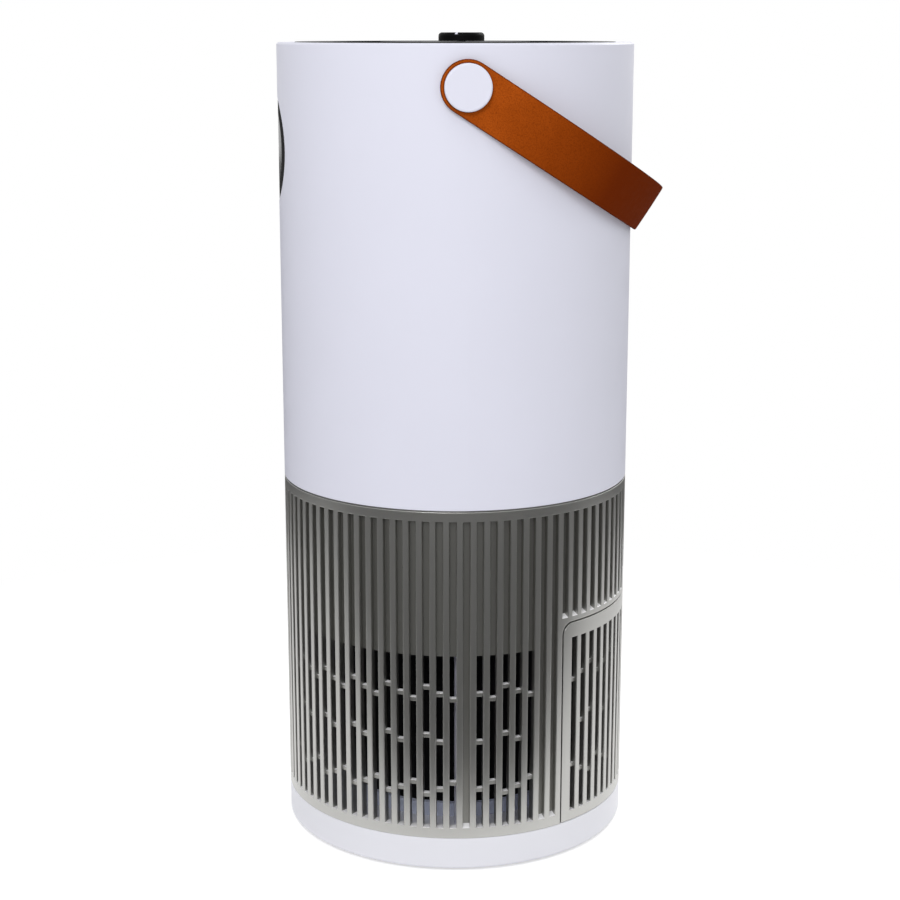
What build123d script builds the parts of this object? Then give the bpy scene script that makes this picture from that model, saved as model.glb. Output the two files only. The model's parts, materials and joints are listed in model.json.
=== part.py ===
from build123d import *
import math
import os

# Body envelope, all sizes in millimetres and degrees
body_radius = 100.0
rim_height = 455.0
seam_height = 209.0
base_height = 20.0

# Walls and gaps
shell_wall = 3.2
grille_wall = 5.0
plate_wall = 3.0
duct_wall = 2.0
board_wall = 1.6
seat_gap = 0.15
part_gap = 0.4
run_gap = 0.05
edge_round = 1.0
over = 1.0

# Base and foot
foot_height = 1.5
foot_width = 10.0
foot_seat = 1.2
foot_inset = 6.0
base_round = 1.5
base_lip = 9.0
lip_height = 6.0
boss_inset = 17.0
boss_radius = 4.0
jack_radius = 3.6
jack_bore = 2.8
jack_depth = 9.0
jack_length = 13.6
jack_pin_radius = 1.05
jack_pin_length = 8.0

# Slotted housing
slot_count = 84
slot_width = 3.8
groove_depth = 3.0
ledge_rise = 1.8
slot_edge = 0.35
plain_band = 6.0
reveal_height = 0.8
reveal_depth = 1.4
intake_height = 100.0
link_height = 2.2
link_depth = 3.2
link_recess = 1.5
link_shares = ((0.18, 0.46, 0.81), (0.22, 0.50, 0.78), (0.25, 0.74))
spigot_height = 8.0

# Rear door
door_first_slot = 9
door_margin = 9.5
door_lap = 8.5
door_gap = 0.9
door_frame = 9.5
door_band = 2.8
door_corner = 7.0
pull_width = 34.0
pull_height = 11.0
pull_depth = 3.4
jamb_reach = 6.0
jamb_root = 6.0
magnet_inset = 2.2
magnet_margin = 17.0
magnet_radius = 1.6
magnet_depth = 2.5
catch_depth = 1.5

# Filter chamber
chamber_height = 108.0
post_radius = 5.8
post_inset = 9.6
post_angles = (0, 180, 240, 300)
filter_inset = 24.6
cap_height = 8.0
cap_floor = 3.0
media_depth = 20.0
media_sheet = 5.0
pleat_count = 72
mesh_wall = 2.0
gasket_height = 4.0
gasket_width = 9.0
tab_width = 22.0
tab_wall = 1.0
tab_length = 32.0
bell_inset = 2.0
bell_height = 9.0

# Fan
fan_gap = 17.0
impeller_height = 36.0
impeller_lift = 12.5
blade_count = 11
blade_wall = 2.0
blade_start = 36.0
blade_sweep = 21.0
hub_radius = 11.0
shaft_radius = 3.0
shaft_grip = 24.0
nut_height = 6.0
motor_gap = 6.0
motor_radius = 30.8
motor_height = 31.5
motor_screw_circle = 18.5
vane_count = 9
vane_tilt = 20.0
vane_height = 23.6
duct_cone = 30.0

# Top outlet and controls
rim_width = 10.0
ledge_width = 4.0
outlet_ring = 11.8
outlet_depth = 6.6
outlet_proud = 0.3
outlet_blades = 44
outlet_blade_wall = 1.6
outlet_swirl = 14.0
panel_radius = 38.0
panel_wall = 3.8
knob_radius = 12.9
knob_height = 4.6
knob_round = 2.0
knob_back = 3.5
knob_angle = -17.0
knob_grip = 3.2
pointer_width = 1.4
pointer_length = 6.0
pointer_depth = 1.0
encoder_side = 13.0
encoder_height = 6.5
bush_radius = 4.0
control_inset = 7.6
control_leg_inset = 5.7

# Round window
window_radius = 28.5
window_drop = 58.6
window_inset = 0.2
window_edge = 0.6
holder_wall = 4.0

# Main board
board_width = 60.0
board_height = 90.0
board_lift = 24.0
board_stand = 6.0
board_corner = 6.0
coil_width = 18.0
coil_height = 22.0
coil_depth = 6.0
chip_side = 12.0
chip_depth = 1.2
plug_side = 8.0
plug_depth = 5.0
plug_count = 3
can_radius = 5.0
can_depth = 7.0

# Strap handle
pivot_drop = 22.0
pad_radius = 12.0
pad_height = 0.7
pad_depth = 8.0
strap_width = 28.6
strap_wall = 2.6
strap_side_gap = 0.2
strap_rest_gap = 0.4
strap_angle = 32.8
eyelet_radius = 7.0
shoulder_radius = 5.0
stud_radius = 3.0
stud_tail = 9.0
stud_grip = 2.3
washer_radius = 6.9
washer_wall = 1.2
nut_radius = 5.4
pivot_nut_height = 4.8
button_radius = 12.3
button_height = 3.8
button_round = 1.0

# Screws
screw_radius = 1.5
screw_head = 2.8
screw_head_height = 1.7
screw_bite = 7.0

# Worked out levels and radii
inner_radius = body_radius - grille_wall
shell_inner = body_radius - shell_wall
pitch = 360 / slot_count
half_turn = slot_count // 2
back_slot = slot_count // 4
door_last_slot = half_turn - door_first_slot
door_half = 90 - door_first_slot * pitch + math.degrees(door_margin / body_radius)
slot_bottom = base_height + plain_band
slot_top = seam_height - plain_band
intake_top = slot_bottom + intake_height
deck_low = base_height + chamber_height
deck_top = deck_low + plate_wall
deck_radius = inner_radius - part_gap
door_top = deck_top + door_lap
jamb_in = door_half - math.degrees(jamb_reach / inner_radius)
jamb_out = door_half + math.degrees(jamb_root / inner_radius)
jamb_inner = deck_radius - plate_wall
plate_radius = body_radius - base_lip
plate_top = foot_height + plate_wall
base_roof = base_height - plate_wall
base_ledge = foot_height + lip_height
foot_radius = plate_radius - foot_inset
boss_circle = foot_radius - foot_width - boss_inset
screw_seat = foot_height + screw_head_height + seat_gap
jack_level = (base_ledge + base_roof) / 2
jack_flange = (base_roof - base_ledge) / 2 - seat_gap
jack_face = body_radius - part_gap
post_circle = deck_radius - post_inset
filter_radius = deck_radius - filter_inset
filter_low = base_height + part_gap / 4
media_low = filter_low + cap_floor
media_top = deck_low - part_gap - gasket_height - cap_floor
filter_top = media_top + cap_floor
mesh_radius = filter_radius - cap_floor
media_radius = mesh_radius - mesh_wall
bell_radius = mesh_radius - gasket_width - bell_inset
fan_outer = deck_radius - plate_wall / 2
fan_inner = fan_outer - duct_wall
impeller_radius = fan_inner - fan_gap
impeller_low = deck_top + impeller_lift
impeller_top = impeller_low + impeller_height
hub_low = impeller_low + plate_wall
cup_low = impeller_top + motor_gap
cup_floor = cup_low + duct_wall
cup_radius = motor_radius + seat_gap
motor_top = cup_floor + motor_height
fan_top = motor_top + plate_wall
duct_join = fan_top + duct_cone
outlet_radius = body_radius - rim_width
outlet_inner = outlet_radius - outlet_ring
duct_radius = outlet_inner + duct_wall / 2
panel_top = rim_height + outlet_proud
panel_low = panel_top - panel_wall
outlet_floor = panel_low - duct_wall
ledge_level = panel_top - outlet_depth
control_level = outlet_floor - encoder_height
control_radius = panel_radius - control_inset
control_circle = control_radius - control_leg_inset
knob_low = panel_top + part_gap
knob_top = knob_low + knob_height
board_low = duct_join + board_lift
board_face = duct_radius + board_stand
window_level = rim_height - window_drop
holder_back = duct_radius + plate_wall + board_wall
pivot_level = rim_height - pivot_drop
pad_face = body_radius + pad_height
pad_inner = body_radius - pad_depth
strap_inner = pad_face + strap_side_gap
strap_outer = strap_inner + strap_wall
button_face = strap_outer + strap_side_gap
slope = math.radians(strap_angle)
strap_reach = (body_radius + strap_rest_gap + strap_width / 2 * math.sin(slope)) / math.cos(slope)
strap_leg = strap_reach - strap_inner


# Shapes used many times
def drum(radius, low, high):
    return Pos(0, 0, (low + high) / 2) * Cylinder(radius, high - low)


def tube(outer, inner, low, high):
    return drum(outer, low, high) - drum(inner, low - over, high + over)


def block(x0, x1, y0, y1, z0, z1):
    return Pos((x0 + x1) / 2, (y0 + y1) / 2, (z0 + z1) / 2) * Box(x1 - x0, y1 - y0, z1 - z0)


def bar_x(radius, x0, x1, z):
    return Pos((x0 + x1) / 2, 0, z) * Rot(0, 90, 0) * Cylinder(radius, x1 - x0)


def bar_y(radius, y0, y1, z, x=0):
    return Pos(x, (y0 + y1) / 2, z) * Rot(90, 0, 0) * Cylinder(radius, y1 - y0)


def ring_of(shape, radius, angles):
    return [Rot(0, 0, a) * Pos(radius, 0, 0) * shape for a in angles]


def around(count, start=0):
    return [start + 360 / count * i for i in range(count)]


def wedge(half, low, high):
    far = 2 * body_radius
    side = far * math.sin(math.radians(half))
    edge = far * math.cos(math.radians(half))
    outline = Polyline((0, 0), (side, edge), (side, 2 * far), (-side, 2 * far), (-side, edge), close=True)
    return Pos(0, 0, low) * extrude(make_face(outline), high - low)


def facing(angle, level, distance):
    a = math.radians(angle)
    out = (math.cos(a), math.sin(a), 0)
    along = (-math.sin(a), math.cos(a), 0)
    return Plane((out[0] * distance, out[1] * distance, level), x_dir=along, z_dir=out)


def screw(length):
    return drum(screw_head, -screw_head_height, 0) + drum(screw_radius, 0, length)


def pilot(depth):
    return drum(screw_radius + run_gap, 0, depth)


def mirrored(shape):
    return [shape, mirror(shape, Plane.YZ)]


# Slots of the lower housing
def groove(low, high):
    near = body_radius - groove_depth
    half = slot_width / 2
    lip = body_radius - slot_edge
    far = body_radius + slot_edge
    wide = half + 2 * slot_edge
    side = [(near, half), (lip, half), (far, wide)]
    other = [(x, -y) for x, y in reversed(side)]
    return Pos(0, 0, low) * extrude(make_face(Polyline(*side, *other, close=True)), high - low)


def blind_groove(low, high):
    near = body_radius - groove_depth - over
    far = body_radius + over
    fall = ledge_rise / groove_depth
    under = low - ledge_rise - over
    foot = [(x, low + (body_radius - x) * fall) for x in (far, near)]
    ramp = Plane.XZ * make_face(Polyline((near, under), (far, under), *foot, close=True))
    return groove(low, high) - extrude(ramp, slot_width, both=True)


def links(shares, low, high):
    front = body_radius - link_recess
    back = front - link_depth
    levels = [high - share * (high - low) for share in shares]
    half = link_height / 2
    return [block(back, front, -slot_width, slot_width, z - half, z + half) for z in levels]


def open_slot(shares, groove_top, open_top):
    near = inner_radius - plate_wall
    far = body_radius - groove_depth + slot_edge
    half = slot_width / 2
    cutter = groove(slot_bottom, groove_top)
    cutter += block(near, far, -half, half, slot_bottom, open_top)
    return cutter - links(shares, slot_bottom, open_top)


def door_space(gap, low):
    half = door_half - math.degrees(gap / body_radius)
    high = door_top - gap
    space = wedge(half, low, high)
    for side in (-1, 1):
        plane = facing(90 + side * half, high, inner_radius - 2 * plate_wall)
        corner = Pos(-side * door_corner / 2, -door_corner / 2) * Rectangle(door_corner, door_corner)
        corner -= Pos(-side * door_corner, -door_corner) * Circle(door_corner)
        space -= extrude(plane * corner, grille_wall + 4 * plate_wall)
    return space


def catches(radius, start, finish):
    aside = door_half - math.degrees((door_gap + magnet_inset) / inner_radius)
    levels = (slot_bottom + magnet_margin, intake_top - magnet_margin)
    spots = [(90 + side * aside, z) for side in (-1, 1) for z in levels]
    return [extrude(facing(a, z, start) * Circle(radius), finish - start) for a, z in spots]


# Lower housing and rear door
def housing_slot(k, blind, above, above_pull, openings):
    pull_slots = math.ceil(pull_width / 2 / math.radians(pitch) / body_radius)
    beside = (door_first_slot - 3, door_first_slot - 2, door_last_slot + 2, door_last_slot + 3)
    if door_first_slot - 1 <= k <= door_last_slot + 1:
        return above_pull if abs(k - back_slot) <= pull_slots else above
    return blind if k % half_turn == 0 or k in beside else openings[k % len(openings)]


def intake_housing():
    shell = tube(body_radius, inner_radius, base_height, seam_height) - door_space(0, base_height - over)
    pull = facing(90, door_top + (pull_height - plate_wall) / 2, body_radius - pull_depth)
    pocket = RectangleRounded(pull_width, pull_height + plate_wall, pull_height / 3)
    shell -= extrude(pull * pocket, pull_depth + over)
    reveal = (seam_height - reveal_height, seam_height + over)
    shell -= tube(body_radius + over, body_radius - reveal_depth, *reveal)
    blind = blind_groove(slot_bottom, slot_top)
    above = blind_groove(door_top + door_band, slot_top)
    above_pull = blind_groove(door_top + pull_height + door_band, slot_top)
    openings = [open_slot(shares, slot_top, intake_top) for shares in link_shares]
    kinds = (blind, above, above_pull, openings)
    shell -= [Rot(0, 0, k * pitch) * housing_slot(k, *kinds) for k in range(slot_count)]
    spigot = (seam_height - plate_wall, seam_height + spigot_height)
    shell += tube(shell_inner - seat_gap, inner_radius - plate_wall / 2, *spigot)
    outside = wedge(jamb_out, base_height, deck_low)
    stop = tube(deck_radius, jamb_inner, base_height, deck_low)
    stop = stop & (outside - wedge(jamb_in, base_height - over, deck_low + over))
    root = tube(inner_radius + seat_gap, jamb_inner, base_height, deck_low)
    root = root & (outside - wedge((door_half + jamb_out) / 2, base_height - over, deck_low + over))
    shell += [stop, root]
    return shell - catches(magnet_radius + seat_gap, deck_radius - catch_depth, inner_radius)


def catch_plates():
    return catches(magnet_radius, deck_radius - catch_depth, deck_radius - seat_gap)


def filter_door():
    panel = tube(body_radius, inner_radius, base_height, door_top)
    panel = panel & door_space(door_gap, base_height + part_gap)
    high = door_top - door_frame
    slots = [open_slot(shares, high, high) for shares in reversed(link_shares)]
    span = range(door_first_slot, door_last_slot + 1)
    panel -= [Rot(0, 0, k * pitch) * slots[(k - door_first_slot) % len(slots)] for k in span]
    return panel - catches(magnet_radius + seat_gap, inner_radius - over, inner_radius + magnet_depth)


def door_magnets():
    return catches(magnet_radius, inner_radius + seat_gap, inner_radius + magnet_depth)


# Base
def base_tray():
    body = drum(body_radius, foot_height, base_height)
    body = fillet(body.edges().group_by(Axis.Z)[0], base_round)
    body = fillet(body.edges().group_by(Axis.Z)[-1], edge_round)
    body -= drum(plate_radius, foot_height - over, base_roof)
    body -= drum(inner_radius, base_ledge, base_roof)
    body += ring_of(drum(boss_radius, plate_top, base_roof + over), boss_circle, around(4, 45))
    body -= ring_of(Pos(0, 0, plate_top) * pilot(base_roof - plate_top), boss_circle, around(4, 45))
    ring = tube(inner_radius - seat_gap, jamb_inner, base_height - over, slot_bottom - over)
    body += ring - wedge(jamb_out + math.degrees(plate_wall / inner_radius), 0, slot_bottom)
    return body - bar_y(jack_radius + seat_gap, plate_radius, body_radius + over, jack_level)


def base_plate():
    body = drum(plate_radius - seat_gap, foot_height, plate_top)
    body -= tube(foot_radius, foot_radius - foot_width, foot_height - over, foot_height + foot_seat)
    hole = drum(screw_head + seat_gap, foot_height - over, screw_seat)
    hole += drum(screw_radius + seat_gap, foot_height, plate_top + over)
    return body - ring_of(hole, boss_circle, around(4, 45))


def base_screws():
    return ring_of(Pos(0, 0, screw_seat) * screw(screw_bite), boss_circle, around(4, 45))


def foot_ring():
    return tube(foot_radius - seat_gap, foot_radius - foot_width + seat_gap, 0, foot_height + foot_seat)


def power_jack():
    front = math.sqrt(inner_radius ** 2 - jack_flange ** 2)
    body = bar_y(jack_radius, jack_face - jack_length, jack_face, jack_level)
    body += bar_y(jack_flange, jack_face - jack_length, front, jack_level)
    return body - bar_y(jack_bore, jack_face - jack_depth, jack_face + over, jack_level)


def jack_pin():
    back = jack_face - jack_depth
    return bar_y(jack_pin_radius, back, back + jack_pin_length, jack_level)


# Filter chamber
def support_posts():
    hole = Pos(0, 0, deck_low - screw_bite) * pilot(screw_bite + over)
    return ring_of(drum(post_radius, base_height, deck_low) - hole, post_circle, post_angles)


def fan_deck():
    body = tube(deck_radius, bell_radius + duct_wall, deck_low, deck_top)
    body += tube(bell_radius + duct_wall, bell_radius, deck_low, deck_top + bell_height)
    mouth = body.edges().filter_by(GeomType.CIRCLE).group_by(Axis.Z)[0].sort_by(SortBy.LENGTH)[:1]
    body = fillet(mouth, duct_wall * 0.75)
    hole = drum(screw_radius + seat_gap, deck_low - over, deck_top + over)
    return body - ring_of(hole, post_circle, post_angles)


def deck_screws():
    return ring_of(Pos(0, 0, deck_top) * Rot(180, 0, 0) * screw(screw_bite), post_circle, post_angles)


def filter_bottom_cap():
    body = drum(filter_radius, filter_low, filter_low + cap_height)
    return body - drum(mesh_radius, media_low, filter_low + cap_height + over)


def filter_top_cap():
    low = filter_top - cap_height
    hole = media_radius - media_depth - cap_floor
    body = tube(filter_radius, hole, low, filter_top)
    return body - drum(mesh_radius, low - over, media_top)


def prefilter_mesh():
    return tube(mesh_radius, media_radius, media_low, media_top)


def pleat_line(outer, inner):
    points = []
    for i in range(2 * pleat_count):
        a = math.pi * i / pleat_count
        r = outer if i % 2 else inner
        points.append((r * math.cos(a), r * math.sin(a)))
    return make_face(Polyline(*points, close=True))


def filter_media():
    inner = media_radius - media_depth + media_sheet
    ring = pleat_line(media_radius, inner) - pleat_line(media_radius - media_sheet, inner - media_sheet)
    return Pos(0, 0, media_low) * extrude(ring, media_top - media_low)


def filter_gasket():
    return tube(mesh_radius, mesh_radius - gasket_width, filter_top, filter_top + gasket_height)


def filter_pull_tab():
    tab = tube(filter_radius + tab_wall, filter_radius, filter_top - tab_length, filter_top)
    return tab & wedge(math.degrees(tab_width / 2 / filter_radius), base_height, deck_low)


# Fan
def fan_housing():
    rise = [(fan_inner, deck_top), (fan_outer, deck_top), (fan_outer, fan_top), (duct_radius, duct_join),
            (duct_radius - duct_wall, duct_join), (fan_inner, fan_top)]
    body = revolve(Plane.XZ * make_face(Polyline(*rise, close=True)), Axis.Z)
    cup = drum(cup_radius + duct_wall, cup_low, motor_top) - drum(cup_radius, cup_floor, motor_top + over)
    cup -= drum(2 * shaft_radius, cup_low - over, cup_floor + over)
    hole = drum(screw_radius + seat_gap, cup_low - over, cup_floor + over)
    cup -= ring_of(hole, motor_screw_circle, around(3))
    near = cup_radius + duct_wall / 2
    far = fan_inner + duct_wall / 2
    vane = Rot(vane_tilt, 0, 0) * Box(far - near, duct_wall, vane_height)
    vane = Pos(0, 0, (cup_floor + motor_top) / 2) * vane
    return body + cup + ring_of(vane, (near + far) / 2, around(vane_count))


def motor():
    body = drum(motor_radius, cup_floor, motor_top)
    body = fillet(body.edges().group_by(Axis.Z)[-1], edge_round)
    body -= drum(shaft_radius + run_gap, cup_floor - over, cup_floor + shaft_grip + over)
    return body - ring_of(Pos(0, 0, cup_floor) * pilot(screw_bite), motor_screw_circle, around(3))


def motor_screws():
    return ring_of(Pos(0, 0, cup_low) * screw(screw_bite), motor_screw_circle, around(3))


def motor_shaft():
    return drum(shaft_radius, hub_low - nut_height, cup_floor + shaft_grip)


def impeller():
    back = drum(impeller_radius, impeller_top - blade_wall, impeller_top)
    shroud = tube(impeller_radius, bell_radius + plate_wall, impeller_low, impeller_low + blade_wall)
    hub = drum(hub_radius, hub_low, impeller_top)
    tip = impeller_radius - edge_round
    sweep = math.radians(blade_sweep)
    half_way = (blade_start + tip) / 2
    middle = (half_way * math.cos(sweep / 3), -half_way * math.sin(sweep / 3))
    lower = ThreePointArc((blade_start, 0), middle, (tip * math.cos(sweep), -tip * math.sin(sweep)))
    upper = Pos(0, blade_wall) * lower
    sides = [lower, upper, Line(lower @ 0, upper @ 0), Line(lower @ 1, upper @ 1)]
    blade = Pos(0, 0, impeller_low + blade_wall / 2) * extrude(make_face(sides), impeller_height - blade_wall)
    body = back + shroud + hub + ring_of(blade, 0, around(blade_count))
    return body - drum(shaft_radius, impeller_low, impeller_top + over)


def hub_nut():
    low = hub_low - nut_height
    nut = Pos(0, 0, low) * extrude(RegularPolygon(2 * shaft_radius, 6), nut_height)
    return nut - drum(shaft_radius, low - over, hub_low + over)


def outlet_duct():
    body = tube(duct_radius, duct_radius - duct_wall, duct_join, ledge_level)
    for x, z in board_corners():
        start = math.sqrt((duct_radius - duct_wall / 2) ** 2 - x ** 2) - duct_wall / 2
        body += bar_y(2 * screw_radius, start, board_face, z, x)
        body -= bar_y(screw_radius + run_gap, board_face - screw_bite, board_face + over, z, x)
    return body


# Electronics
def board_corners():
    x = board_width / 2 - board_corner
    levels = (board_low + board_corner, board_low + board_height - board_corner)
    return [(side * x, z) for side in (-1, 1) for z in levels]


def main_board():
    back = board_face + board_wall
    body = block(-board_width / 2, board_width / 2, board_face, back, board_low, board_low + board_height)
    hole = screw_radius + seat_gap
    return body - [bar_y(hole, board_face - over, back + over, z, x) for x, z in board_corners()]


def board_parts():
    y = board_face + board_wall
    middle = board_low + board_height / 2
    low = board_low + board_corner
    above = middle + plate_wall
    coil = block(-coil_width / 2, coil_width / 2, y, y + coil_depth, above, above + coil_height)
    chip = block(-chip_side / 2, chip_side / 2, y, y + chip_depth, middle - chip_side, middle)
    can = bar_y(can_radius, y, y + can_depth, middle, coil_width / 2 + can_radius)
    steps = [(i - (plug_count - 1) / 2) * 1.25 * plug_side for i in range(plug_count)]
    plug = block(-plug_side / 2, plug_side / 2, y, y + plug_depth, low, low + plug_side)
    return [coil, chip, can] + [Pos(x, 0, 0) * plug for x in steps]


def board_screws():
    y = board_face + board_wall
    return [Pos(x, y, z) * Rot(90, 0, 0) * screw(screw_bite) for x, z in board_corners()]


# Upper shell and round window
def upper_shell():
    low = ledge_level - duct_wall
    neck = outlet_radius - ledge_width
    wall = [(shell_inner, seam_height), (body_radius - slot_edge, seam_height),
            (body_radius, seam_height + slot_edge), (body_radius, rim_height - edge_round),
            (body_radius - edge_round, rim_height),
            (outlet_radius, rim_height), (outlet_radius, ledge_level), (neck, ledge_level),
            (neck, low), (outlet_radius + duct_wall, low),
            (outlet_radius + duct_wall, rim_height - shell_wall), (shell_inner, rim_height - shell_wall)]
    body = revolve(Plane.XZ * make_face(Polyline(*wall, close=True)), Axis.Z)
    body += mirrored(bar_x(pad_radius, pad_inner, pad_face, pivot_level))
    body -= mirrored(bar_x(stud_radius + run_gap, pad_inner - over, pad_face + over, pivot_level))
    body -= bar_y(window_radius, -body_radius - over, -duct_radius, window_level)
    rim = [e for e in body.edges() if on_window_edge(e @ 0.3)]
    return chamfer(rim, window_edge)


def on_window_edge(point):
    near = math.hypot(point.X, point.Z - window_level) < window_radius + edge_round
    return near and point.Y < 0 and math.hypot(point.X, point.Y) > body_radius - run_gap


def window_lens():
    low = window_level - window_radius - over
    body = tube(body_radius - window_inset, shell_inner, low, low + 2 * window_radius + 2 * over)
    return body & bar_y(window_radius - seat_gap, -body_radius - over, -duct_radius, window_level)


def window_holder():
    outer = window_radius + holder_wall
    body = bar_y(outer, -body_radius, -holder_back, window_level)
    body -= bar_y(window_radius - holder_wall, -body_radius - over, 0, window_level)
    return body & drum(shell_inner, window_level - outer - over, window_level + outer + over)


def display_board():
    return bar_y(window_radius, -holder_back, -holder_back + board_wall, window_level)


# Top outlet, panel and dial
def outlet_blade(low, high):
    swirl = math.radians(outlet_swirl)
    reach = outlet_inner + duct_wall
    start = Vector(panel_radius + 1.5 * duct_wall, 0)
    end = Vector(reach * math.cos(swirl), reach * math.sin(swirl))
    run = end - start
    middle = (start + end) * 0.5
    lean = math.degrees(math.atan2(run.Y, run.X))
    blade = Rot(0, 0, lean) * Box(run.length, outlet_blade_wall, high - low)
    return Pos(middle.X, middle.Y, (low + high) / 2) * blade


def outlet_grille():
    hub = panel_radius + 2 * duct_wall
    body = tube(outlet_radius - seat_gap, outlet_inner, ledge_level, panel_top)
    body = fillet(body.edges().group_by(Axis.Z)[-1], edge_round / 2)
    body += drum(hub, outlet_floor, panel_top) - drum(panel_radius + seat_gap, panel_low, panel_top + over)
    low = ledge_level + edge_round
    high = panel_top - edge_round
    for share in (1 / 3, 2 / 3):
        r = hub + share * (outlet_inner - hub)
        body += tube(r + outlet_blade_wall / 2, r - outlet_blade_wall / 2, low, high)
    body += ring_of(outlet_blade(low, high), 0, around(outlet_blades))
    body -= Pos(0, knob_back, 0) * drum(bush_radius + seat_gap, outlet_floor - over, panel_top)
    leg = tube(2 * screw_radius, screw_radius + run_gap, control_level, outlet_floor)
    return body + ring_of(leg, control_circle, around(3, 30))


def control_panel():
    body = drum(panel_radius, panel_low, panel_top)
    body = fillet(body.edges().group_by(Axis.Z)[-1], edge_round / 2)
    return body - Pos(0, knob_back, 0) * drum(bush_radius + seat_gap, panel_low - over, panel_top + over)


def control_board():
    low = control_level - board_wall
    hole = drum(screw_radius + seat_gap, low - over, control_level + over)
    return drum(control_radius, low, control_level) - ring_of(hole, control_circle, around(3, 30))


def control_screws():
    return ring_of(Pos(0, 0, control_level - board_wall) * screw(screw_bite), control_circle, around(3, 30))


def encoder():
    half = encoder_side / 2
    body = block(-half, half, -half, half, control_level, outlet_floor)
    body += drum(bush_radius, outlet_floor, panel_top)
    body -= drum(shaft_radius + run_gap, control_level + over, panel_top + over)
    return Pos(0, knob_back, 0) * body


def encoder_shaft():
    return Pos(0, knob_back, 0) * drum(shaft_radius, control_level + 2 * over, knob_low + knob_grip)


def pointer_slot():
    half = pointer_width / 2
    low = knob_top - pointer_depth
    bar = block(knob_radius - pointer_length, knob_radius + over, -half, half, low, knob_top)
    return Pos(0, knob_back, 0) * Rot(0, 0, knob_angle) * bar


def knob_form():
    body = drum(knob_radius, knob_low, knob_top)
    body = fillet(body.edges().group_by(Axis.Z)[-1], knob_round)
    return Pos(0, knob_back, 0) * body


def control_knob():
    bore = Pos(0, knob_back, 0) * drum(shaft_radius, panel_top, knob_low + knob_grip)
    return knob_form() - pointer_slot() - bore


def knob_pointer():
    return knob_form() & pointer_slot()


# Strap handle and pivots
def handle_strap():
    half = strap_width / 2
    far = 2 * body_radius
    arc = Pos(0, strap_leg, 0) * tube(strap_outer, strap_inner, -half, half)
    band = arc & block(-far, far, strap_leg, 2 * far, -half, half)
    band += mirrored(block(strap_inner, strap_outer, -half, strap_leg, -half, half))
    ends = block(-far, far, -half - over, 0, -half - over, half + over)
    band -= ends - bar_x(half, -far, far, 0)
    band -= bar_x(eyelet_radius, -far, far, 0)
    return Pos(0, 0, pivot_level) * Rot(-strap_angle, 0, 0) * band


def strap_eyelets():
    ring = bar_x(eyelet_radius, strap_inner, strap_outer, pivot_level)
    ring -= bar_x(shoulder_radius + run_gap, strap_inner - over, strap_outer + over, pivot_level)
    return mirrored(ring)


def pivot_studs():
    stud = bar_x(stud_radius, pad_inner - stud_tail, pad_face, pivot_level)
    stud += bar_x(shoulder_radius, pad_face, button_face, pivot_level)
    return mirrored(stud + bar_x(stud_radius, button_face, button_face + stud_grip, pivot_level))


def pivot_buttons():
    cap = bar_x(button_radius, button_face, button_face + button_height, pivot_level)
    cap = fillet(cap.edges().group_by(Axis.X)[-1], button_round)
    return mirrored(cap - bar_x(stud_radius, button_face - over, button_face + stud_grip, pivot_level))


def pivot_washers():
    back = pad_inner - washer_wall
    ring = bar_x(washer_radius, back, pad_inner, pivot_level)
    return mirrored(ring - bar_x(stud_radius + run_gap, back - over, pad_inner + over, pivot_level))


def pivot_nuts():
    face = pad_inner - washer_wall
    back = face - pivot_nut_height
    hexagon = Plane((back, 0, pivot_level), z_dir=(1, 0, 0)) * RegularPolygon(nut_radius, 6)
    nut = extrude(hexagon, pivot_nut_height)
    return mirrored(nut - bar_x(stud_radius, back - over, face + over, pivot_level))


# Every piece by name
pieces = [
    base_tray, base_plate, base_screws, foot_ring, power_jack, jack_pin,
    intake_housing, catch_plates, filter_door, door_magnets,
    support_posts, fan_deck, deck_screws,
    filter_bottom_cap, filter_top_cap, prefilter_mesh, filter_media, filter_gasket, filter_pull_tab,
    fan_housing, motor, motor_screws, motor_shaft, impeller, hub_nut, outlet_duct,
    main_board, board_parts, board_screws,
    upper_shell, window_lens, window_holder, display_board,
    outlet_grille, control_panel, control_board, control_screws,
    encoder, encoder_shaft, control_knob, knob_pointer,
    handle_strap, strap_eyelets, pivot_studs, pivot_buttons, pivot_washers, pivot_nuts,
]
os.makedirs("parts", exist_ok=True)
for piece in pieces:
    shape = piece()
    if isinstance(shape, list):
        shape = Compound(children=[s if isinstance(s, Solid) else s.solid() for s in shape])
    export_step(shape, f"parts/{piece.__name__}.step")
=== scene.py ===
import bmesh
import bpy
import json
import math
from mathutils import Matrix, Vector


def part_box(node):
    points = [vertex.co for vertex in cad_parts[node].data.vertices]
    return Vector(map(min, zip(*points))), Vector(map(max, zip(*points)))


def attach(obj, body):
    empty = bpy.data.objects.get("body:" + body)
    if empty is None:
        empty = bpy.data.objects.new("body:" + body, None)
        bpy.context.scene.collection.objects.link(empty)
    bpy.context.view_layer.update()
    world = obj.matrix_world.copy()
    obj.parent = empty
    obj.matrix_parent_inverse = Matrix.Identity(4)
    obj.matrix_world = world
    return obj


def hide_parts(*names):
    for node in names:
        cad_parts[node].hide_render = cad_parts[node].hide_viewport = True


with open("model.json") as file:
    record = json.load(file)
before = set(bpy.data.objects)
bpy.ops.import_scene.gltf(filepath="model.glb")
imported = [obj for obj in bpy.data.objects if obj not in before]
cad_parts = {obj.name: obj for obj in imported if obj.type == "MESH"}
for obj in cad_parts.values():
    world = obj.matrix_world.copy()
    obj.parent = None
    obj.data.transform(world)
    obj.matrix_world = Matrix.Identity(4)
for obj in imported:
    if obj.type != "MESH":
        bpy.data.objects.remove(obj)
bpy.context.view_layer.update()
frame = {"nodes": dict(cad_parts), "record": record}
nodes = frame["nodes"]

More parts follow.
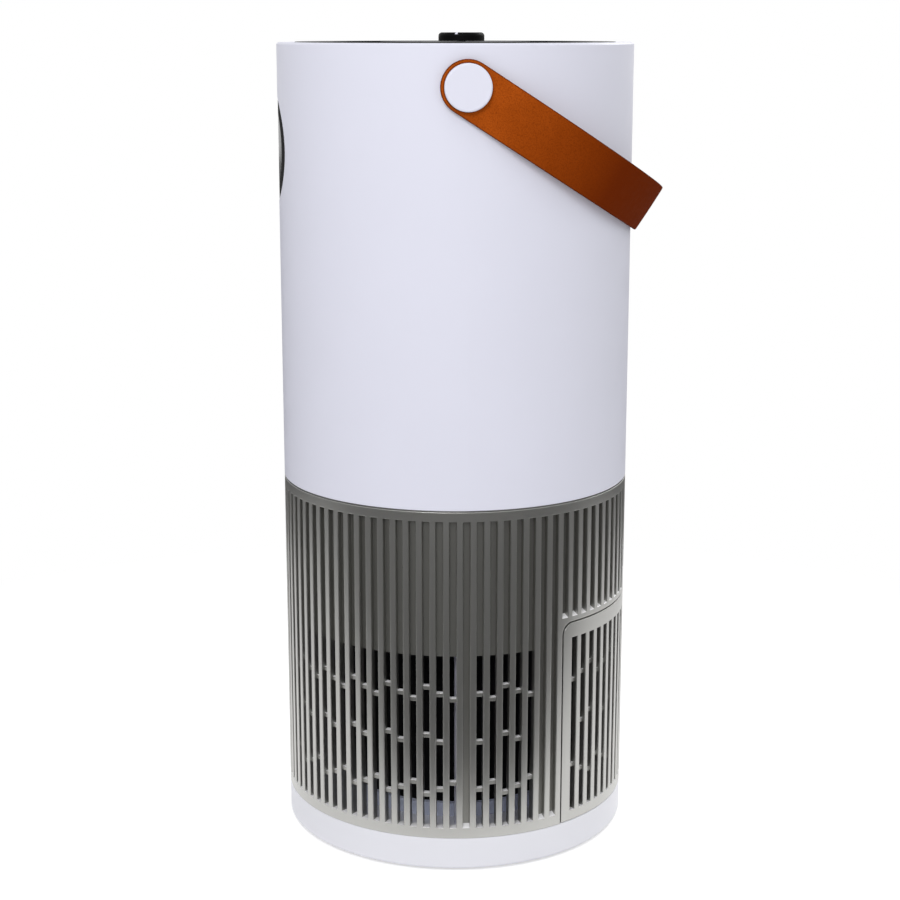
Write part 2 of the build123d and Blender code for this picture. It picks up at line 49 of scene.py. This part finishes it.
# Camera, as the photograph was taken: metres, degrees and millimetres of lens
camera_azimuth = 86.3
camera_turn = 0.155
camera_distance = 1.073
camera_above_rim = 0.007
camera_pitch = 12.69
camera_lens = 74.75
sensor_width = 36.0

# White sky and paper floor, in metres: the paper fades to plain white between near and far
white = (1.0, 1.0, 1.0, 1.0)
sky_strength = 0.60
floor_size = 12.0
floor_albedo = 0.80
floor_glow = 0.50
floor_near = 0.22
floor_far = 0.60
paper_roughness = 0.9

# Black cloth on the floor round the body, in metres and degrees
flag_black = (0.01, 0.01, 0.01, 1.0)
flag_front = 0.185
flag_spread = 0.42
flag_turn = 5.0
flag_start = 20.0
flag_span = 65.0
flag_most = 0.66
flag_far = 5.9
flag_level = 0.0015
flag_count = 96

# Lamps: place, aim, width of the disc in metres, watts and tint
lamps = {
    "key": ((0.98, -0.26, 0.94), (0, 0, 0.36), 0.5, 4.75, (1.0, 0.99, 1.0)),
    "top": ((0.55, -0.20, 1.60), (0, 0, 0.25), 0.7, 1.5, (1.0, 0.99, 1.0)),
    "side": ((-0.35, 1.5, 1.0), (0, 0, 0.36), 0.8, 1.7, (1.0, 0.99, 0.90)),
    "back": ((-1.1, 1.0, 1.2), (0, 0, 0.30), 0.8, 8.0, (1.0, 1.0, 1.0)),
}

# Plain finishes: size of the patches of tone and of gloss, and of the moulded or cast grain, in metres
tone_patch = 0.05
gloss_patch = 0.012
gloss_spread = 0.12
fine_grain = 0.0006

# Part of a noise's range that makes the patches
noise_middle = (0.3, 0.7)

# Housing lacquer: where its painted shade and painted highlight lie, by radius, level and slope, in metres
groove_radii = (0.0974, 0.0996)
slot_radii = (0.0960, 0.0972)
slot_levels = (0.055, 0.070)
ledge_slope = (0.5, 0.9)
ledge_fade = 0.002
housing_ledge_end = 0.205
door_corner = 0.007
seam_levels = (0.2080, 0.2084)

# Housing lacquer: colours of the coat and of its painted shade and painted highlight, gloss, flake and
# grain
coat_grey = (0.48, 0.478, 0.46)
groove_painted_shade = (0.285, 0.283, 0.265, 1.0)
slot_painted_shade = (0.05, 0.05, 0.05, 1.0)
ledge_painted_highlight = (0.95, 0.95, 0.97, 1.0)
seam_painted_shadow = (0.008, 0.008, 0.008, 1.0)
coat_patch = 0.04
coat_spread = 0.02
coat_roughness = 0.35
groove_roughness = 0.5
flake_size = 0.00035
flake_range = (0.1, 0.9)
flake_spread = 0.07
coat_grain = 0.0005
coat_depth = 0.000008
coat_bevel = 0.0005

# Window: centre, edge of the printed border, tints and gloss
window_level = 0.3964
window_border = (0.0205, 0.0210)
glass_tint = (0.010, 0.011, 0.014, 1.0)
border_black = (0.004, 0.004, 0.004, 1.0)
border_roughness = 0.85
glass_smear = (0.16, 0.24)
smear_patch = 0.02
glass_depth = 0.000001

# Leather: tan dyes at the ends, painted shade towards the grip, pits, painted shade round the button, edge
# paint and grain
tan_tints = ((0.36, 0.066, 0.0040, 1.0), (0.43, 0.082, 0.0060, 1.0))
grip_painted_shade = (0.160, 0.0205, 0.0002, 1.0)
grip_gain = 2.3
grip_start = 0.22
pit_brown = (0.12, 0.016, 0.0003, 1.0)
pit_range = (0.30, 0.75)
pit_share = 0.42
button_painted_shade = (0.030, 0.0045, 0.0006, 1.0)
button_shade_radii = (0.0124, 0.0130)
button_shade_share = 0.70
edge_brown = (0.060, 0.0085, 0.0018, 1.0)
tan_patch = 0.016
pebble_size = 0.0006
crease_size = 0.0035
leather_gloss = (0.50, 0.68)
leather_depth = 0.00009
leather_relief = 0.6

# Woven pieces: patches of tone, waviness and depth of the weave as a share of its pitch
weave_patch = 0.01
weave_spread = 0.2
weave_waviness = 0.4
weave_depth = 0.2

# Strap handle, in metres and degrees: as the CAD has it, with rounded edges and a slight crown
strap_pivot = 0.433
strap_angle = 32.8
strap_width = 0.0286
strap_wall = 0.0026
strap_inner = 0.1009
strap_leg = 0.02776
strap_round = 0.0009
strap_crown = 0.00018
strap_paint = 0.0007
eyelet_radius = 0.007
strap_half = strap_width / 2
strap_middle = strap_inner + strap_wall / 2
strap_run = 2 * strap_leg + math.pi * strap_middle

# Strap mesh: steps in from an edge, counts of rows and columns, and shares of the way out from an eyelet
edge_steps = (0.0, 0.00012, 0.00035, 0.0007, 0.0012, 0.0022)
strap_columns = 150
row_steps = 5
side_steps = 5
tip_steps = 24
ray_shares = (0.4, 0.5, 0.6)
weld_gap = 1e-6


# Shader building blocks
def add(mat, kind, inputs=None, **settings):
    made = mat.node_tree.nodes.new(kind)
    for key, value in settings.items():
        setattr(made, key, value)
    for key, value in (inputs or {}).items():
        if isinstance(value, bpy.types.NodeSocket):
            mat.node_tree.links.new(value, made.inputs[key])
        else:
            made.inputs[key].default_value = value
    return made


def principled(name, **sockets):
    mat = bpy.data.materials.new(name)
    mat.use_nodes = True
    shader = mat.node_tree.nodes["Principled BSDF"]
    for key, value in sockets.items():
        shader.inputs[key.replace("_", " ")].default_value = value
    return mat


def feed(mat, socket, source):
    mat.node_tree.links.new(source, mat.node_tree.nodes["Principled BSDF"].inputs[socket])


def place(mat, scale=(1, 1, 1), shift=(0, 0, 0)):
    coords = add(mat, "ShaderNodeTexCoord").outputs["Object"]
    inputs = {"Vector": coords, "Location": shift, "Scale": scale}
    return add(mat, "ShaderNodeMapping", inputs).outputs["Vector"]


def noise(mat, size, detail=2.0):
    inputs = {"Vector": place(mat), "Scale": 1 / size, "Detail": detail}
    return add(mat, "ShaderNodeTexNoise", inputs).outputs["Fac"]


def cells(mat, size, feature="F1"):
    inputs = {"Vector": place(mat), "Scale": 1 / size}
    return add(mat, "ShaderNodeTexVoronoi", inputs, feature=feature).outputs["Distance"]


def attribute(mat, name):
    return add(mat, "ShaderNodeAttribute", attribute_name=name).outputs["Fac"]


# Distance from a point on the upright axis, along the given axes only
def distance(mat, axes, level=0.0):
    flat = place(mat, axes, (0, 0, -level))
    return add(mat, "ShaderNodeVectorMath", {0: flat}, operation="LENGTH").outputs["Value"]


def maths(mat, operation, first, second):
    return add(mat, "ShaderNodeMath", {0: first, 1: second}, operation=operation).outputs[0]


def both(mat, first, second):
    return maths(mat, "MULTIPLY", first, second)


def between(mat, fac, low, high, start, end):
    inputs = {"Value": fac, "From Min": start, "From Max": end, "To Min": low, "To Max": high}
    return add(mat, "ShaderNodeMapRange", inputs).outputs["Result"]


def rise(mat, fac, start, end):
    return between(mat, fac, 0.0, 1.0, start, end)


def fall(mat, fac, start, end):
    return between(mat, fac, 1.0, 0.0, start, end)


def patches(mat, size, low, high, detail=2.0):
    return between(mat, noise(mat, size, detail), low, high, *noise_middle)


# A mix of colours takes its share and two colours in sockets 0, 6 and 7 and gives socket 2
def blend(mat, share, first, second):
    return add(mat, "ShaderNodeMix", {0: share, 6: first, 7: second}, data_type="RGBA").outputs[2]


def shade(colour, factor):
    return tuple(min(1.0, c * factor) for c in colour) + (1.0,)


def mottled(mat, size, colour, spread):
    return blend(mat, patches(mat, size, 0.0, 1.0), shade(colour, 1 - spread), shade(colour, 1 + spread))


def relief(mat, height, depth, strength=1.0, soft=0.0):
    inputs = {"Height": height, "Distance": depth, "Strength": strength}
    if soft:
        inputs["Normal"] = add(mat, "ShaderNodeBevel", {"Radius": soft}, samples=6).outputs["Normal"]
    feed(mat, "Normal", add(mat, "ShaderNodeBump", inputs).outputs["Normal"])


# Plain finish: broad tone, uneven gloss and a fine moulded or cast grain
def finish(name, colour, roughness, spread=0.03, depth=0.00001, metallic=0.0, **sockets):
    mat = principled(name, Metallic=metallic, Roughness=roughness, **sockets)
    feed(mat, "Base Color", mottled(mat, tone_patch, colour, spread))
    gloss = patches(mat, gloss_patch, roughness * (1 - gloss_spread), roughness * (1 + gloss_spread))
    feed(mat, "Roughness", gloss)
    relief(mat, noise(mat, fine_grain), depth)
    return mat


# Metallic lacquer with flake: painted shade in grooves, slots and seam, a painted highlight, pale and not
# metallic, on up-facing ledges
def lacquer(name, ledge_end):
    mat = principled(name, Metallic=1.0, Roughness=coat_roughness)
    coords = add(mat, "ShaderNodeTexCoord").outputs
    level = add(mat, "ShaderNodeSeparateXYZ", {0: coords["Object"]}).outputs["Z"]
    slope = add(mat, "ShaderNodeSeparateXYZ", {0: coords["Normal"]}).outputs["Z"]
    radius = distance(mat, (1, 1, 0))
    # Painted shade: groove floors darker, as if shaded by their walls
    groove = fall(mat, radius, *groove_radii)
    # Painted shade on the inner walls of the open slots, above their bottom band
    slot = both(mat, fall(mat, radius, *slot_radii), rise(mat, level, *slot_levels))
    # Painted highlight: ledges that face up turn pale, as if lit from above
    below_end = fall(mat, level, ledge_end - ledge_fade, ledge_end)
    ledge = both(mat, rise(mat, slope, *ledge_slope), below_end)
    # Painted shadow in the reveal under the shell's lower edge
    seam = both(mat, groove, rise(mat, level, *seam_levels))
    colour = mottled(mat, coat_patch, coat_grey, coat_spread)
    for share, tint in ((groove, groove_painted_shade), (slot, slot_painted_shade), (ledge, ledge_painted_highlight), (seam, seam_painted_shadow)):
        colour = blend(mat, share, colour, tint)
    feed(mat, "Base Color", colour)
    # The painted highlight on ledges is not metallic, so it shows as pale lit paint
    feed(mat, "Metallic", fall(mat, ledge, 0.0, 1.0))
    flake = between(mat, cells(mat, flake_size), 1 - flake_spread, 1 + flake_spread, *flake_range)
    gloss = between(mat, groove, coat_roughness, groove_roughness, 0.0, 1.0)
    feed(mat, "Roughness", both(mat, flake, gloss))
    relief(mat, noise(mat, coat_grain), coat_depth, soft=coat_bevel)
    return mat


# Smoked window with a matt printed border
def smoked(name):
    mat = principled(name, IOR=1.3)
    border = rise(mat, distance(mat, (1, 0, 1), window_level), *window_border)
    feed(mat, "Base Color", blend(mat, border, glass_tint, border_black))
    smear = patches(mat, smear_patch, *glass_smear)
    feed(mat, "Roughness", maths(mat, "MAXIMUM", smear, both(mat, border, border_roughness)))
    relief(mat, noise(mat, fine_grain), glass_depth)
    return mat


# Leather: tan at the ends, browner towards the grip as painted shade, with pits, a ring of painted shade
# round the button and painted edges
def leather(name):
    mat = principled(name, Roughness=0.6, Specular_IOR_Level=0.02)
    pebble = cells(mat, pebble_size, "SMOOTH_F1")
    crease = noise(mat, crease_size, detail=5.0)
    colour = blend(mat, patches(mat, tan_patch, 0.0, 1.0, detail=3.0), *tan_tints)
    pits = between(mat, pebble, 0.0, pit_share, *pit_range)
    # Painted shade: a dark ring on the leather just round the button's edge
    button_shade = between(mat, distance(mat, (0, 1, 1), strap_pivot), button_shade_share, 0.0, *button_shade_radii)
    layers = ((attribute(mat, "grip"), grip_painted_shade), (pits, pit_brown), (button_shade, button_painted_shade),
              (attribute(mat, "edge"), edge_brown))
    for share, tint in layers:
        colour = blend(mat, share, colour, tint)
    feed(mat, "Base Color", colour)
    feed(mat, "Roughness", between(mat, crease, *leather_gloss, *noise_middle))
    relief(mat, maths(mat, "SUBTRACT", crease, pebble), leather_depth, leather_relief)
    return mat


# Cloth and mesh: threads that run round the piece
def woven(name, colour, pitch, **sockets):
    mat = principled(name, Roughness=0.85, **sockets)
    inputs = {"Vector": place(mat), "Scale": 1 / pitch, "Distortion": weave_waviness}
    wave = add(mat, "ShaderNodeTexWave", inputs, bands_direction="Z").outputs["Fac"]
    feed(mat, "Base Color", mottled(mat, weave_patch, colour, weave_spread))
    relief(mat, wave, pitch * weave_depth)
    return mat


# Looks by material slot
plain = {
    "shell_white": dict(colour=(0.775, 0.782, 0.888), roughness=0.42, spread=0.006, depth=0.000004,
                        Specular_IOR_Level=0.2),
    "black_satin": dict(colour=(0.010, 0.010, 0.011), roughness=0.45, spread=0.1, Specular_IOR_Level=0.12),
    "black_gloss": dict(colour=(0.007, 0.007, 0.008), roughness=0.40, spread=0.1, depth=0.000002,
                        Specular_IOR_Level=0.2),
    "natural_plastic": dict(colour=(0.78, 0.79, 0.92), roughness=0.5),
    "steel": dict(colour=(0.62, 0.62, 0.63), roughness=0.3, metallic=1.0),
    "motor_steel": dict(colour=(0.42, 0.42, 0.44), roughness=0.45, metallic=1.0, depth=0.00003),
    "brass": dict(colour=(0.70, 0.50, 0.22), roughness=0.3, metallic=1.0),
    "rubber": dict(colour=(0.02, 0.02, 0.021), roughness=0.75, spread=0.15, depth=0.00003),
    "filter_cap": dict(colour=(0.66, 0.71, 1.0), roughness=0.55, spread=0.18, depth=0.00002),
    "filter_paper": dict(colour=(0.82, 0.82, 0.80), roughness=0.9, depth=0.00005),
    "foam": dict(colour=(0.10, 0.10, 0.11), roughness=0.95, depth=0.00008),
    "circuit_board": dict(colour=(0.015, 0.11, 0.05), roughness=0.4, spread=0.15),
}
slots = {name: finish(name, **look) for name, look in plain.items()}
slots["housing_grey"] = lacquer("housing_grey", housing_ledge_end)
slots["window_black"] = smoked("window_black")
slots["leather"] = leather("leather")
slots["carbon_mesh"] = woven("carbon_mesh", (0.008, 0.008, 0.009), 0.0012, Specular_IOR_Level=0.1)
slots["tab_fabric"] = woven("tab_fabric", (0.20, 0.21, 0.25), 0.0008, Sheen_Weight=0.15)
for part in frame["record"]["subparts"]:
    node = nodes[part["node"]]
    node.data.materials.clear()
    node.data.materials.append(slots[part["material_slot"]])

# Pieces with a look of their own: the door's painted ledge highlight ends below its top corner, and the
# base's white is painted lighter
door_ledge_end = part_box("filter_door")[1].z - door_corner
own_looks = {
    "filter_door": lacquer("door_grey", door_ledge_end),
    "control_knob": finish("knob_black", (0.004, 0.004, 0.004), 0.5, spread=0.1, Specular_IOR_Level=0.04),
    # Base: the shell's white made lighter, painted light for the light thrown up from the floor
    "base_tray": finish("base_white_painted_light", (0.89, 0.895, 0.955), 0.42, spread=0.006, depth=0.000004),
}
for name, look in own_looks.items():
    nodes[name].data.materials[0] = look


# Leather strap: cut flat with round ends and eyelet holes, edges rounded and painted, bent round the back
def rounded(gap):
    if gap >= strap_round:
        return 0.0
    return strap_round - math.sqrt(strap_round ** 2 - (strap_round - gap) ** 2)


def edge_gap(u, v):
    side = strap_half - abs(v)
    if u >= strap_half:
        return side
    outer = strap_half - math.hypot(u, v) if u < 0 else side
    return max(0.0, min(outer, math.hypot(u, v) - eyelet_radius))


def bend(u, height, v):
    turn = (u - strap_leg) / strap_middle
    out = strap_inner + height
    if turn <= 0:
        flat = Vector((out, u, v))
    elif turn >= math.pi:
        flat = Vector((-out, strap_leg - (turn - math.pi) * strap_middle, v))
    else:
        flat = Vector((out * math.cos(turn), strap_leg + out * math.sin(turn), v))
    return Matrix.Rotation(math.radians(-strap_angle), 4, "X") @ flat + Vector((0, 0, strap_pivot))


def strap_rows():
    side = [strap_half - step for step in edge_steps]
    inner = [side[-1] * (1 - k / row_steps) for k in range(1, row_steps)]
    rows = side + inner
    return [-v for v in rows] + [0.0] + rows[::-1]


# Outline of a round end, with a mark on the points where it joins the strip
def end_outline():
    join = [(strap_half, v, True) for v in strap_rows()]
    side = [strap_half * (1 - k / side_steps) for k in range(1, side_steps + 1)]
    top = [(u, strap_half, False) for u in side]
    turn = [math.pi / 2 + math.pi * k / tip_steps for k in range(1, tip_steps + 1)]
    tip = [(strap_half * math.cos(a), strap_half * math.sin(a), False) for a in turn]
    low = [(u, -strap_half, False) for u in side[-2::-1]]
    return join + top + tip + low


# Points from the eyelet hole out to a point of the outline
def ray(u, v):
    far = math.hypot(u, v)
    near = [eyelet_radius + step for step in edge_steps]
    mid = [eyelet_radius + (far - eyelet_radius) * share for share in ray_shares]
    last = [far - step for step in edge_steps[::-1]]
    return [(u * d / far, v * d / far) for d in near + mid + last]


def make_strap():
    bm = bmesh.new()
    edge = bm.verts.layers.float.new("edge")
    grip = bm.verts.layers.float.new("grip")

    def point(u, v, top, far_end):
        gap = edge_gap(u, v)
        inset = rounded(gap)
        lift = strap_crown * (2 * v / strap_width) ** 2
        height = strap_wall - inset - lift if top else inset
        vert = bm.verts.new(bend(strap_run - u if far_end else u, height, v))
        vert[edge] = max(0.0, 1.0 - gap / strap_paint)
        # Share of painted shade, rising from the ends towards the grip, where the strap turns down away
        # from the lamps
        vert[grip] = min(1.0, max(0.0, u / (strap_run / 2) * grip_gain - grip_start))
        return vert

    def loop(places, far_end):
        top = [point(u, v, True, far_end) for u, v in places]
        return top + [point(u, v, False, far_end) for u, v in places[::-1]]

    def skin(first, second, skip=()):
        count = len(first)
        for j in range(count):
            if j not in skip:
                k = (j + 1) % count
                bm.faces.new((first[j], second[j], second[k], first[k]))

    rows = strap_rows()
    strip = []
    for i in range(strap_columns + 1):
        u = strap_half + (strap_run - strap_width) * i / strap_columns
        strip.append(loop([(min(u, strap_run - u), v) for v in rows], u > strap_run / 2))
    for first, second in zip(strip, strip[1:]):
        skin(first, second)
    outline = end_outline()
    for far_end in (False, True):
        rays = [loop(ray(u, v), far_end) for u, v, join in outline]
        for i in range(len(rays)):
            k = (i + 1) % len(rays)
            joined = outline[i][2] and outline[k][2]
            skin(rays[i], rays[k], (len(rays[i]) // 2 - 1,) if joined else ())
    bmesh.ops.remove_doubles(bm, verts=bm.verts, dist=weld_gap)
    bmesh.ops.recalc_face_normals(bm, faces=bm.faces)
    mesh = bpy.data.meshes.new("leather_strap")
    bm.to_mesh(mesh)
    bm.free()
    mesh.shade_smooth()
    mesh.materials.append(slots["leather"])
    strap = bpy.data.objects.new("leather_strap", mesh)
    bpy.context.scene.collection.objects.link(strap)
    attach(strap, "handle")
    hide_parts("handle_strap")


# Floor, cloth, sky, lamps and camera
def stage_mesh(name, points, faces, mat):
    mesh = bpy.data.meshes.new(name)
    mesh.from_pydata(points, [], faces)
    mesh.materials.append(mat)
    plane = bpy.data.objects.new(name, mesh)
    bpy.context.scene.collection.objects.link(plane)
    return plane


# One where the camera, a reflection or glass sees it, nought for the light it sheds on other pieces
def seen_directly(owner):
    path = add(owner, "ShaderNodeLightPath").outputs
    seen = maths(owner, "MAXIMUM", path["Is Camera Ray"], path["Is Glossy Ray"])
    return maths(owner, "MAXIMUM", seen, path["Is Transmission Ray"])


def make_floor():
    mat = principled("floor_paper", Roughness=paper_roughness, Base_Color=(floor_albedo,) * 3 + (1.0,))
    shader = mat.node_tree.nodes["Principled BSDF"]
    seen = seen_directly(mat)
    glow = {"Color": white, "Strength": both(mat, seen, floor_glow)}
    light = add(mat, "ShaderNodeEmission", glow).outputs[0]
    paper = add(mat, "ShaderNodeAddShader", {0: shader.outputs[0], 1: light}).outputs[0]
    plain_white = add(mat, "ShaderNodeEmission", {"Color": white, "Strength": 1.0}).outputs[0]
    far = both(mat, seen, rise(mat, distance(mat, (1, 1, 0)), floor_near, floor_far))
    surface = add(mat, "ShaderNodeMixShader", {0: far, 1: paper, 2: plain_white}).outputs[0]
    mat.node_tree.links.new(surface, mat.node_tree.nodes["Material Output"].inputs["Surface"])
    half = floor_size / 2
    corners = [(-half, -half, 0), (half, -half, 0), (half, half, 0), (-half, half, 0)]
    stage_mesh("floor", corners, [(0, 1, 2, 3)], mat)


# Black cloth with a hole round the body, nearest on the camera's side, seen only in reflections
def make_flag():
    mat = principled("flag_black", Roughness=paper_roughness, Base_Color=flag_black)
    points = []
    for k in range(flag_count):
        turn = 360 * k / flag_count
        aside = abs((turn - flag_turn - camera_azimuth + 90 + 180) % 360 - 180)
        opening = flag_spread * (max(0.0, aside - flag_start) / flag_span) ** 2
        reach = min(flag_most, flag_front + opening)
        across = (math.cos(math.radians(turn)), math.sin(math.radians(turn)))
        points += [(across[0] * d, across[1] * d, flag_level) for d in (reach, flag_far)]
    steps = [(2 * k, (2 * k + 2) % (2 * flag_count)) for k in range(flag_count)]
    flag = stage_mesh("flag", points, [(a, a + 1, b + 1, b) for a, b in steps], mat)
    flag.visible_camera = False
    flag.visible_diffuse = False
    flag.visible_shadow = False
    flag.visible_transmission = False


def make_world():
    world = bpy.data.worlds.new("studio")
    world.use_nodes = True
    bpy.context.scene.world = world
    strength = between(world, seen_directly(world), sky_strength, 1.0, 0.0, 1.0)
    sky = world.node_tree.nodes["Background"]
    sky.inputs["Color"].default_value = white
    world.node_tree.links.new(strength, sky.inputs["Strength"])


def make_lamp(name, where, target, size, power, colour):
    data = bpy.data.lights.new(name, "AREA")
    data.shape = "DISK"
    data.size = size
    data.energy = power
    data.color = colour
    lamp = bpy.data.objects.new(name, data)
    lamp.location = where
    lamp.rotation_euler = (Vector(target) - Vector(where)).to_track_quat("-Z", "Y").to_euler()
    bpy.context.scene.collection.objects.link(lamp)


def make_camera():
    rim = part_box("upper_shell")[1].z
    turn = math.radians(camera_azimuth)
    data = bpy.data.cameras.new("camera")
    data.lens = camera_lens
    data.sensor_width = sensor_width
    camera = bpy.data.objects.new("camera", data)
    level = rim + camera_above_rim
    camera.location = (camera_distance * math.sin(turn), -camera_distance * math.cos(turn), level)
    camera.rotation_euler = (math.radians(90 - camera_pitch), 0, turn + math.radians(camera_turn))
    bpy.context.scene.collection.objects.link(camera)
    bpy.context.scene.camera = camera


make_strap()
make_floor()
make_flag()
make_world()
for name, lamp in lamps.items():
    make_lamp(name, *lamp)
make_camera()
bpy.context.scene.view_settings.view_transform = "Standard"
